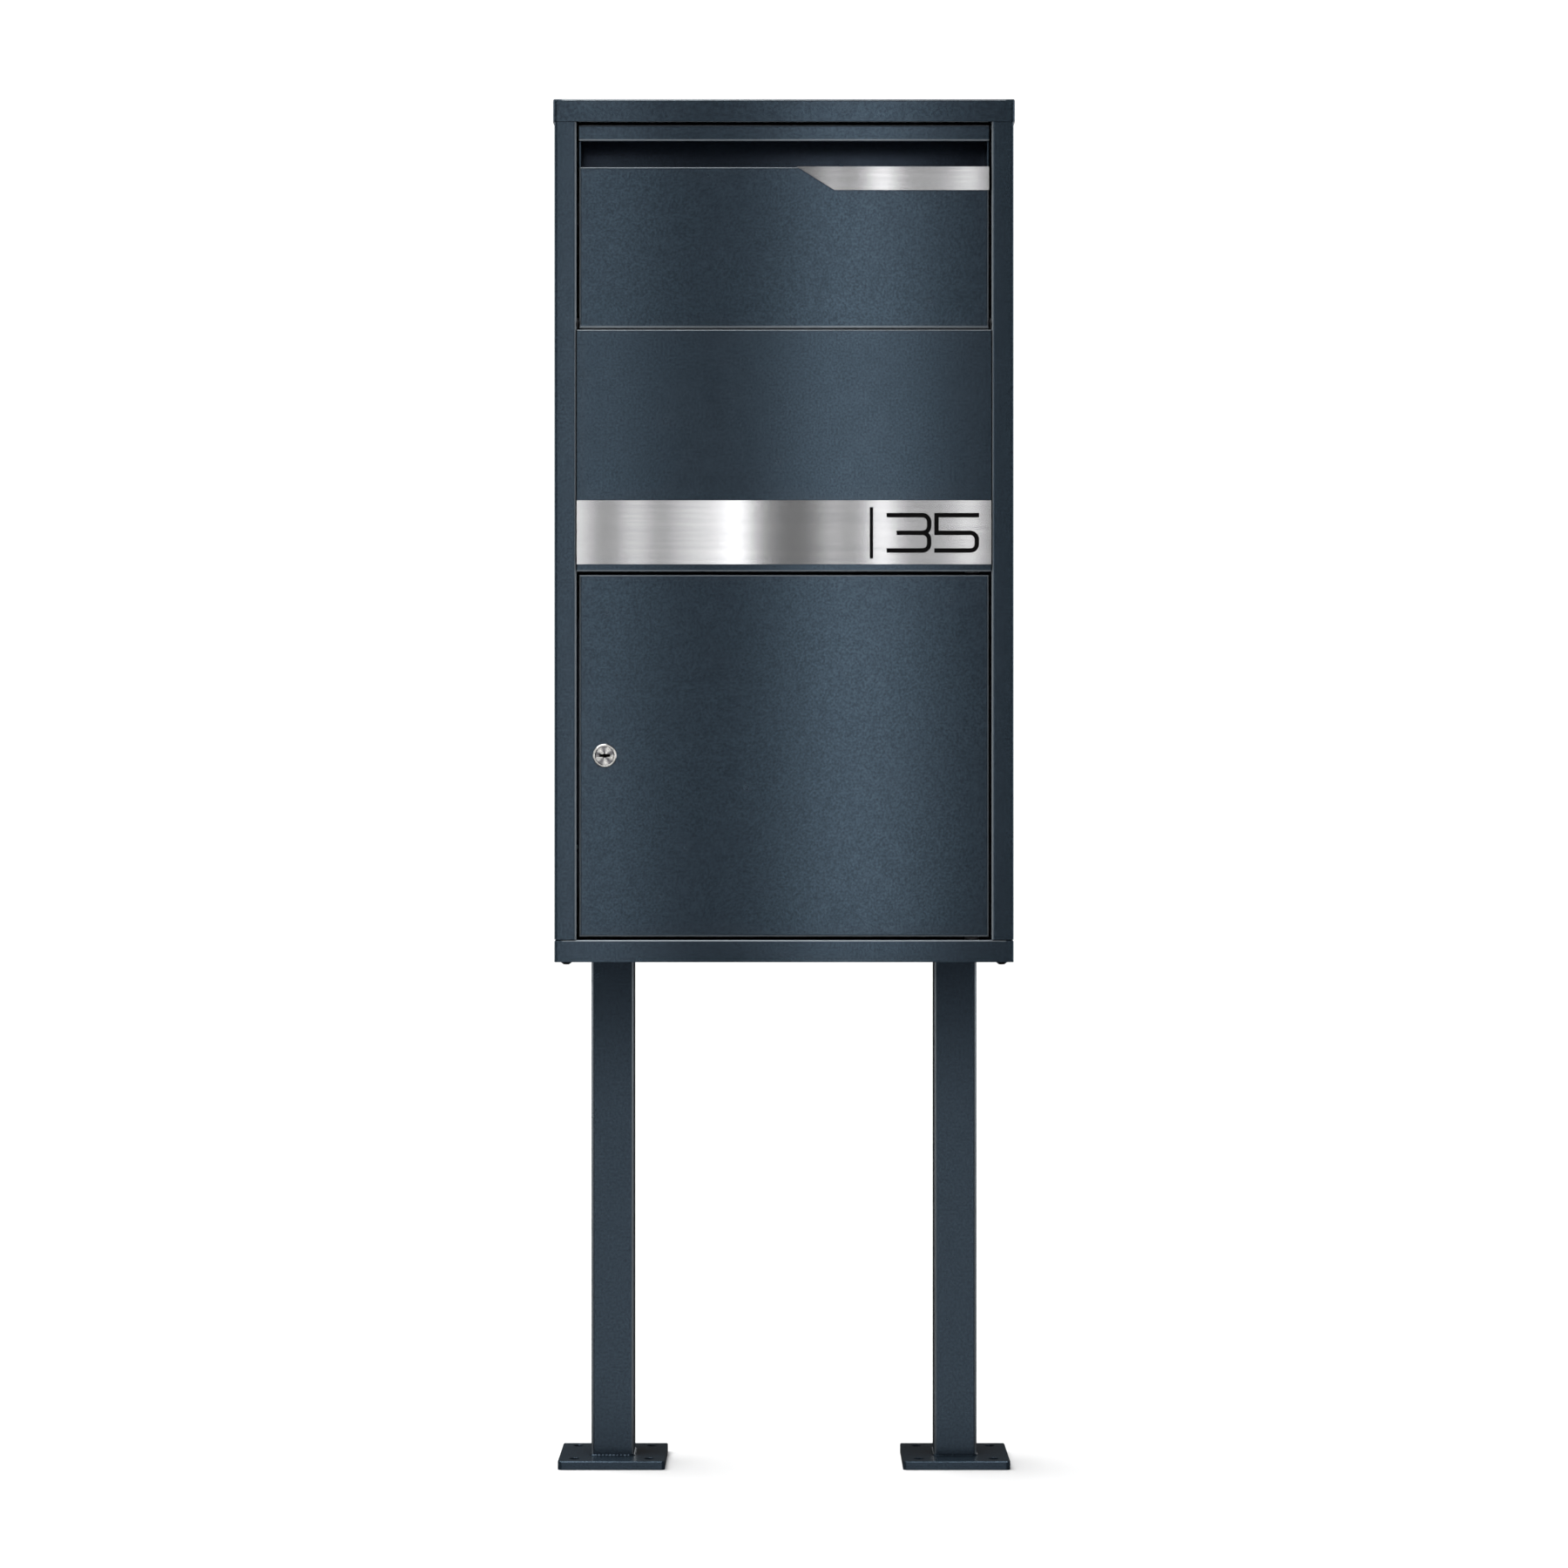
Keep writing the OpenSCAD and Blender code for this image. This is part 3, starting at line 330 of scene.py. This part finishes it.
@dataclass(frozen=True)
class PlatedSteel(Finish):
    """Steel fasteners with an electroplated or blackened skin.

    Small crystals and a film of passivation make the shine blotchy.
    """

    colour: str = "#a9adb0"
    film: str = "#8c8f86"
    roughness: float = 0.33
    metallic: float = 1.0
    crystal: float = 2.2 * MM

    def material(self) -> bpy.types.Material:
        """Make the plated steel's material.

        Returns:
            The new material.
        """
        material, tree, shader, place = self.start()
        spangle = put(tree, "TexVoronoi", {"Vector": place, "Scale": 1 / self.crystal})
        film = put(tree, "TexNoise", {"Vector": place, "Scale": 1 / (4 * self.crystal), "Detail": 2.0})
        patch = put(tree, "Math", {0: spangle.outputs["Distance"], 1: film.outputs["Fac"]}, operation="MULTIPLY")
        tone = put(tree, "Mix", {"Factor": patch.outputs[0], "A": linear(self.colour), "B": linear(self.film)},
                   data_type="RGBA")
        gloss = put(tree, "MapRange", {"Value": film.outputs["Fac"], "To Min": self.roughness - 0.08,
                                       "To Max": self.roughness + 0.1})
        edge = put(tree, "Bevel", {"Radius": 0.3 * MM}, samples=4)
        bump = put(tree, "Bump", {"Height": film.outputs["Fac"], "Distance": 0.05 * MM, "Strength": 0.3,
                                  "Normal": edge.outputs["Normal"]})
        tree.links.new(tone.outputs["Result"], shader.inputs["Base Color"])
        tree.links.new(gloss.outputs["Result"], shader.inputs["Roughness"])
        tree.links.new(bump.outputs["Normal"], shader.inputs["Normal"])
        shader.inputs["Metallic"].default_value = self.metallic
        return material


@dataclass(frozen=True)
class Polymer(Finish):
    """Moulded nylon, pressed rubber or cut vinyl film.

    The skin is dark and nearly even; its fine grain dulls the highlight.
    """

    colour: str = "#17181a"
    worn: str = "#222426"
    roughness: float = 0.5
    ior: float = 1.5
    grain: float = 0.8 * MM
    relief: float = 0.05 * MM

    def material(self) -> bpy.types.Material:
        """Make the polymer's material.

        Returns:
            The new material.
        """
        material, tree, shader, place = self.start()
        grain = put(tree, "TexNoise", {"Vector": place, "Scale": 1 / self.grain, "Detail": 2.0})
        handled = put(tree, "TexNoise", {"Vector": place, "Scale": 1 / (20 * self.grain), "Detail": 2.0})
        tone = put(tree, "Mix", {"Factor": handled.outputs["Fac"], "A": linear(self.colour), "B": linear(self.worn)},
                   data_type="RGBA")
        gloss = put(tree, "MapRange", {"Value": handled.outputs["Fac"], "To Min": self.roughness - 0.07,
                                       "To Max": self.roughness + 0.07})
        bump = put(tree, "Bump", {"Height": grain.outputs["Fac"], "Distance": self.relief, "Strength": 0.4})
        tree.links.new(tone.outputs["Result"], shader.inputs["Base Color"])
        tree.links.new(gloss.outputs["Result"], shader.inputs["Roughness"])
        tree.links.new(bump.outputs["Normal"], shader.inputs["Normal"])
        shader.inputs["IOR"].default_value = self.ior
        return material


@dataclass(frozen=True)
class StudioFloor(Finish):
    """White lacquered studio floor, rolled on and matt, which takes only a soft shadow."""

    colour: str = "#f7f7f7"
    scuffed: str = "#f4f4f4"

    def material(self) -> bpy.types.Material:
        """Make the floor's material.

        Returns:
            The new material.
        """
        material, tree, shader, place = self.start()
        roller = put(tree, "TexNoise", {"Vector": place, "Scale": 6.0, "Detail": 2.0})
        tone = put(tree, "Mix", {"Factor": roller.outputs["Fac"], "A": linear(self.colour), "B": linear(self.scuffed)},
                   data_type="RGBA")
        tree.links.new(tone.outputs["Result"], shader.inputs["Base Color"])
        shader.inputs["Roughness"].default_value = 0.9
        return material


class Slot(Enum):
    """Material slots of the CAD model."""

    PAINT = "powder_coat"
    STAINLESS = "brushed_stainless"
    NICKEL = "lock_nickel"
    ZINC = "zinc_plate"
    NYLON = "nylon"
    RUBBER = "rubber_pad"
    FILM = "black_film"
    SCREW = "black_screw"


class Wardrobe:
    """Makes each finish once and puts it on CAD nodes and on new pieces."""

    def __init__(self) -> None:
        """Make the finishes and read which node has which slot."""
        lock = middle("lock_plug")
        lock.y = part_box("lock_plug")[0].y
        self.finishes: dict[Slot, bpy.types.Material] = {
            Slot.PAINT: PowderCoat("powder_coat_anthracite_fine_texture").material(),
            Slot.STAINLESS: BrushedStainless("stainless_steel_belt_brushed").material(),
            Slot.NICKEL: TurnedNickel("nickel_plate_lathe_turned", axis=tuple(lock)).material(),
            Slot.ZINC: PlatedSteel("zinc_electroplate_passivated").material(),
            Slot.NYLON: Polymer("nylon_moulded_black").material(),
            Slot.RUBBER: Polymer("rubber_pressed_black", colour="#101011", worn="#1c1c1d", roughness=0.75).material(),
            Slot.FILM: Polymer("vinyl_film_cut_black", colour="#050506", worn="#08080a", roughness=0.5, ior=1.4,
                               grain=1.2 * MM, relief=0.02 * MM).material(),
            Slot.SCREW: PlatedSteel("steel_black_oxide", colour="#1c1e21", film="#141517", roughness=0.4,
                                    metallic=0.8).material(),
        }
        # the same coat without the painted edge highlight
        self.unhighlighted = PowderCoat("powder_coat_anthracite_unrubbed", edge_highlight=0.0).material()
        self.slots = {s["node"]: Slot(s["material_slot"]) for s in frame["record"]["subparts"]}
        self.worn: dict[Slot, list[bpy.types.Object]] = {slot: [] for slot in Slot}

    def dress(self, nodes: Sequence[str]) -> None:
        """Put each CAD node's finish on it.

        Args:
            nodes: Names of CAD nodes.
        """
        for name in nodes:
            slot = self.slots[name]
            for material_slot in frame["nodes"][name].material_slots:
                material_slot.material = self.unhighlighted if name in UNHIGHLIGHTED else self.finishes[slot]
            self.worn[slot].append(frame["nodes"][name])

    def dress_piece(self, piece: bpy.types.Object) -> None:
        """Coat a new piece, all of whose faces slope, and name its slot.

        Args:
            piece: Mesh piece made here.
        """
        piece.data.materials.append(self.unhighlighted)
        self.worn[Slot.PAINT].append(piece)

    def wearing(self, *slots: Slot) -> list[bpy.types.Object]:
        """List the dressed objects of some slots.

        Args:
            *slots: The slots; every slot when none is given.

        Returns:
            The objects.
        """
        return [thing for slot in (slots or Slot) for thing in self.worn[slot]]


# ---------- sub-assemblies ----------

@dataclass
class WeldBead:
    """Fillet weld run round a square tube on a plate, with the ripples of its pools."""

    name: str
    centre: Vector
    half: float
    up: float = 1.0
    leg: float = 3.2 * MM
    corner: float = 3 * MM
    pitch: float = 3.4 * MM
    profile: int = 7

    def outline(self) -> list[tuple[Vector, Vector]]:
        """Walk round the tube.

        Returns:
            Points on the tube's outline with their outward directions, evenly spaced.
        """
        straight = 2 * (self.half - self.corner)
        bend = self.corner * math.pi / 2
        total = 4 * (straight + bend)
        count = int(total / self.pitch) * 4
        walk = []
        for i in range(count):
            side, along = divmod(i / count * total, straight + bend)
            turn = side * math.pi / 2
            if along < straight:
                place, facing = Vector((self.half, along - straight / 2)), 0.0
            else:
                facing = (along - straight) / self.corner
                hub = Vector((self.half - self.corner, self.half - self.corner))
                place = hub + self.corner * Vector((math.cos(facing), math.sin(facing)))
            cos, sin = math.cos(turn), math.sin(turn)
            point = Vector((place.x * cos - place.y * sin, place.x * sin + place.y * cos, 0.0))
            angle = facing + turn
            walk.append((point, Vector((math.cos(angle), math.sin(angle), 0.0))))
        return walk

    def build(self) -> bpy.types.Object:
        """Make the bead's mesh.

        Returns:
            The bead, closed all round.
        """
        mesh = bmesh.new()
        rings = []
        walk = self.outline()
        for i, (point, outward) in enumerate(walk):
            ripple = 1 + 0.07 * math.sin(i / 4 * math.tau) + 0.05 * math.sin(i * 0.37)
            ring = []
            for k in range(self.profile):
                angle = k / (self.profile - 1) * math.pi / 2
                bulge = self.leg * ripple * (0.80 + 0.20 * abs(math.cos(2 * angle)))
                rise = self.up * bulge * math.sin(angle)
                ring.append(mesh.verts.new(self.centre + point + outward * bulge * math.cos(angle)
                                           + Vector((0, 0, rise))))
            ring.append(mesh.verts.new(self.centre + point - outward * 0.3 * MM))
            rings.append(ring)
        for first, second in zip(rings, rings[1:] + rings[:1]):
            for k in range(len(first)):
                after = (k + 1) % len(first)
                mesh.faces.new((first[k], first[after], second[after], second[k]))
        bmesh.ops.recalc_face_normals(mesh, faces=mesh.faces)
        for face in mesh.faces:
            face.smooth = True
        data = bpy.data.meshes.new(self.name)
        mesh.to_mesh(data)
        mesh.free()
        piece = bpy.data.objects.new(self.name, data)
        bpy.context.scene.collection.objects.link(piece)
        return piece


@dataclass
class SubAssembly:
    """A group of CAD nodes on one body, with the pieces added to it."""

    title: str
    body: str
    nodes: tuple[str, ...]
    pieces: list[bpy.types.Object] = field(default_factory=list)

    def build(self) -> None:
        """Make the pieces that the CAD model leaves out; most groups have none."""

    def dress(self, wardrobe: Wardrobe) -> None:
        """Put finishes on the nodes and the pieces.

        Args:
            wardrobe: Source of the finishes.
        """
        wardrobe.dress(self.nodes)
        for piece in self.pieces:
            wardrobe.dress_piece(piece)
            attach(piece, self.body)

    def finish(self, wardrobe: Wardrobe) -> None:
        """Build and dress the group and report it.

        Args:
            wardrobe: Source of the finishes.
        """
        self.build()
        self.dress(wardrobe)
        log.info("%s: %d nodes dressed, %d pieces added", self.title, len(self.nodes), len(self.pieces))


@dataclass
class Legs(SubAssembly):
    """Two square posts with their plates, and the welds between them."""

    weld_leg: float = 1.5 * MM

    def build(self) -> None:
        """Make a weld bead at each end of each post."""
        for side in ("left", "right"):
            low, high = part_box("post_" + side)
            hub = (low + high) / 2
            half = (high.x - low.x) / 2
            for end, height, up in (("foot", low.z, 1.0), ("head", high.z, -1.0)):
                bead = WeldBead(f"weld_{end}_{side}", Vector((hub.x, hub.y, height)), half, up, self.weld_leg)
                self.pieces.append(bead.build())


# ---------- studio ----------

@dataclass
class Strip:
    """An upright light strip in front of the cabinet, by where it mirrors in the front."""

    mirror_x: float
    width: float
    power: float
    low: float = -0.16
    high: float = 1.44


@dataclass
class Studio:
    """Pale floor, soft lights and the camera."""

    camera_height: float = 0.639
    camera_distance: float = 3.4
    lens: float = 87.5
    wall_distance: float = 0.55
    stagger: float = 2 * MM       # keeps strips that overlap from hiding each other
    floor_size: float = 60.0
    ambient: float = 0.08
    flagged: float = 0.05
    paint_strips: tuple[Strip, ...] = (
        Strip(-0.172, 0.075, 1.5, low=0.25),
        Strip(0.066, 0.110, 1.85, low=0.43),
    )
    leg_strips: tuple[Strip, ...] = (Strip(0.0, 0.60, 0.70, low=-0.30, high=0.34),)
    metal_strips: tuple[Strip, ...] = (
        Strip(-0.185, 0.010, 3.8),
        Strip(-0.133, 0.018, 1.75),
        Strip(-0.070, 0.059, 0.96),
        Strip(-0.041, 0.012, 4.0),
        Strip(0.043, 0.010, 1.8),
        Strip(0.088, 0.013, 4.0),
        Strip(0.143, 0.058, 0.40),
        Strip(0.167, 0.011, 2.7),
    )

    def link(self, light: bpy.types.Object, lit: Sequence[bpy.types.Object],
             shading: Sequence[bpy.types.Object] = ()) -> None:
        """Restrict what a light falls on and what throws its shadows.

        Args:
            light: The light.
            lit: Objects that it lights; all of them when empty.
            shading: Objects that throw its shadows; all of them when empty.
        """
        bpy.context.scene.collection.objects.link(light)
        for label, things in (("receiver", lit), ("blocker", shading)):
            if things:
                group = bpy.data.collections.new(f"{light.name}_{label}s")
                for thing in things:
                    group.objects.link(thing)
                setattr(light.light_linking, label + "_collection", group)

    def light(self, name: str, place: Vector, target: Vector, size: tuple[float, float], radiance: float,
              lit: Sequence[bpy.types.Object] = ()) -> None:
        """Hang a rectangular soft light that the camera doesn't see.

        Args:
            name: Name of the light.
            place: Its centre.
            target: Point that it faces.
            size: Width and height.
            radiance: Brightness of its face.
            lit: Objects that it lights; all of them when empty.
        """
        lamp = bpy.data.lights.new(name, "AREA")
        lamp.shape = "RECTANGLE"
        lamp.size, lamp.size_y = size
        lamp.energy = radiance * math.pi * size[0] * size[1]
        light = bpy.data.objects.new(name, lamp)
        light.location = place
        light.rotation_euler = (target - place).to_track_quat("-Z", "Y").to_euler()
        light.visible_camera = False
        self.link(light, lit)

    def sun(self, name: str, way: Vector, spread: float, strength: float, lit: Sequence[bpy.types.Object],
            shading: Sequence[bpy.types.Object] = ()) -> None:
        """Add a far, broad light.

        Args:
            name: Name of the light.
            way: Direction in which its light travels.
            spread: Angle that it fills, in degrees.
            strength: Power on a surface that faces it.
            lit: Objects that it lights.
            shading: Objects that throw its shadows; all of them when empty.
        """
        lamp = bpy.data.lights.new(name, "SUN")
        lamp.energy = strength
        lamp.angle = math.radians(spread)
        light = bpy.data.objects.new(name, lamp)
        light.rotation_euler = way.to_track_quat("-Z", "Y").to_euler()
        self.link(light, lit, shading)

    def strips(self, label: str, strips: Sequence[Strip], lit: Sequence[bpy.types.Object]) -> None:
        """Stand a row of upright strips in front of the cabinet.

        Args:
            label: Start of the lights' names.
            strips: The strips.
            lit: Objects that they light.
        """
        spread = 1 + self.wall_distance / self.camera_distance
        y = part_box("side_panel_left")[0].y - self.wall_distance
        for i, strip in enumerate(strips):
            place = Vector((strip.mirror_x * spread, y - i * self.stagger, (strip.low + strip.high) / 2))
            size = (strip.width * spread, strip.high - strip.low)
            self.light(f"{label}_{i}", place, place + Vector((0, 1, 0)), size, strip.power, lit)

    def world(self) -> None:
        """Make a surround that is white to the camera, lights the object softly and is flagged off behind it."""
        world = bpy.data.worlds.new("studio_surround")
        world.use_nodes = True
        tree = world.node_tree
        tree.nodes.clear()
        seen = put(tree, "Background", {"Color": (1, 1, 1, 1), "Strength": 1.1})
        felt = put(tree, "Background", {"Color": (1, 1, 1, 1)})
        way = put(tree, "SeparateXYZ", {"Vector": put(tree, "TexCoord").outputs["Generated"]})
        flag = put(tree, "MapRange", {"Value": way.outputs["Y"], "From Min": -0.2, "From Max": 0.4,
                                      "To Min": self.ambient, "To Max": self.flagged})
        tree.links.new(flag.outputs["Result"], felt.inputs["Strength"])
        path = put(tree, "LightPath")
        both = put(tree, "MixShader", {0: path.outputs["Is Camera Ray"], 1: felt.outputs[0], 2: seen.outputs[0]})
        put(tree, "OutputWorld", {"Surface": both.outputs[0]})
        bpy.context.scene.world = world

    def floor(self) -> bpy.types.Object:
        """Lay the floor just under the foot plates; its glare is kept out of the paint.

        Returns:
            The floor.
        """
        data = bpy.data.meshes.new("studio_floor")
        mesh = bmesh.new()
        bmesh.ops.create_grid(mesh, x_segments=4, y_segments=4, size=self.floor_size / 2)
        mesh.to_mesh(data)
        mesh.free()
        floor = bpy.data.objects.new("studio_floor", data)
        floor.location.z = -0.1 * MM
        floor.visible_glossy = False
        data.materials.append(StudioFloor("floor_lacquer_white_matt").material())
        bpy.context.scene.collection.objects.link(floor)
        return floor

    def camera(self) -> None:
        """Set the camera level in front of the object."""
        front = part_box("side_panel_left")[0].y
        data = bpy.data.cameras.new("camera")
        data.lens = self.lens
        data.sensor_width = 36
        camera = bpy.data.objects.new("camera", data)
        camera.location = (0.0, front - self.camera_distance, self.camera_height)
        camera.rotation_euler = (math.pi / 2, 0.0, 0.0)
        bpy.context.scene.collection.objects.link(camera)
        bpy.context.scene.camera = camera

    def build(self, wardrobe: Wardrobe) -> None:
        """Set up the whole studio.

        Args:
            wardrobe: Tells which objects are bright metal.
        """
        bpy.context.scene.view_settings.view_transform = "Standard"
        things = wardrobe.wearing()
        feet = [thing for thing in things if thing.name.startswith("foot_plate")]
        posts = [thing for thing in things if thing.name.startswith("post_")]
        self.world()
        self.camera()
        self.sun("overhead", Vector((0.42, 0.12, -1.0)), 50, 2.1, things)
        self.sun("foot_wash", Vector((0.1, 0.25, -1.0)), 50, 4.0, feet)
        self.sun("floor_wash", Vector((0.28, -0.14, -1.0)), 55, 4.3, [self.floor()], feet + posts)
        legs = [thing for thing in things if thing.name.startswith(("post_", "foot_", "weld_"))]
        self.strips("paint_strip", self.paint_strips, [t for t in wardrobe.wearing(Slot.PAINT) if t not in legs])
        self.strips("leg_strip", self.leg_strips, legs)
        self.strips("metal_strip", self.metal_strips, wardrobe.wearing(Slot.STAINLESS, Slot.NICKEL))
        hub = Vector((0, -0.1, 0.8))
        self.light("side_left", Vector((-2.4, -0.2, 1.2)), hub, (1.0, 2.2), 1.6, things)
        self.light("side_right", Vector((2.4, -0.2, 1.2)), hub, (1.0, 2.2), 1.8, things)
        self.light("back", Vector((0.6, 3.0, 1.5)), hub, (2.0, 1.8), 1.6, [t for t in things if t not in feet])
        shell = [thing for thing in things if thing not in legs]
        self.light("back_left", Vector((-2.2, 2.2, 1.4)), hub, (2.0, 1.8), 2.0, shell)
        self.light("back_right", Vector((2.2, 2.2, 1.4)), hub, (2.0, 1.8), 2.0, shell)
        log.info("studio: %d lights", len(bpy.data.lights))


def main() -> None:
    """Dress every sub-assembly, then set up the studio."""
    logging.basicConfig(level=logging.INFO, format="%(message)s")
    wardrobe = Wardrobe()
    bodies = frame["record"]["behaviour"]["bodies"]
    legs = tuple(n for n in bodies["cabinet"] if n.startswith(("post_", "foot_", "head_")))
    shell = tuple(n for n in bodies["cabinet"] if n not in legs)
    groups = (
        SubAssembly("cabinet shell", "cabinet", shell),
        Legs("legs", "cabinet", legs),
        SubAssembly("hopper", "hopper", tuple(bodies["hopper"])),
        SubAssembly("collection door", "door", tuple(bodies["door"])),
        SubAssembly("lock cylinder", "lock_cylinder", tuple(bodies["lock_cylinder"])),
    )
    for group in groups:
        group.finish(wardrobe)
    Studio().build(wardrobe)


if __name__ == "__main__":
    main()
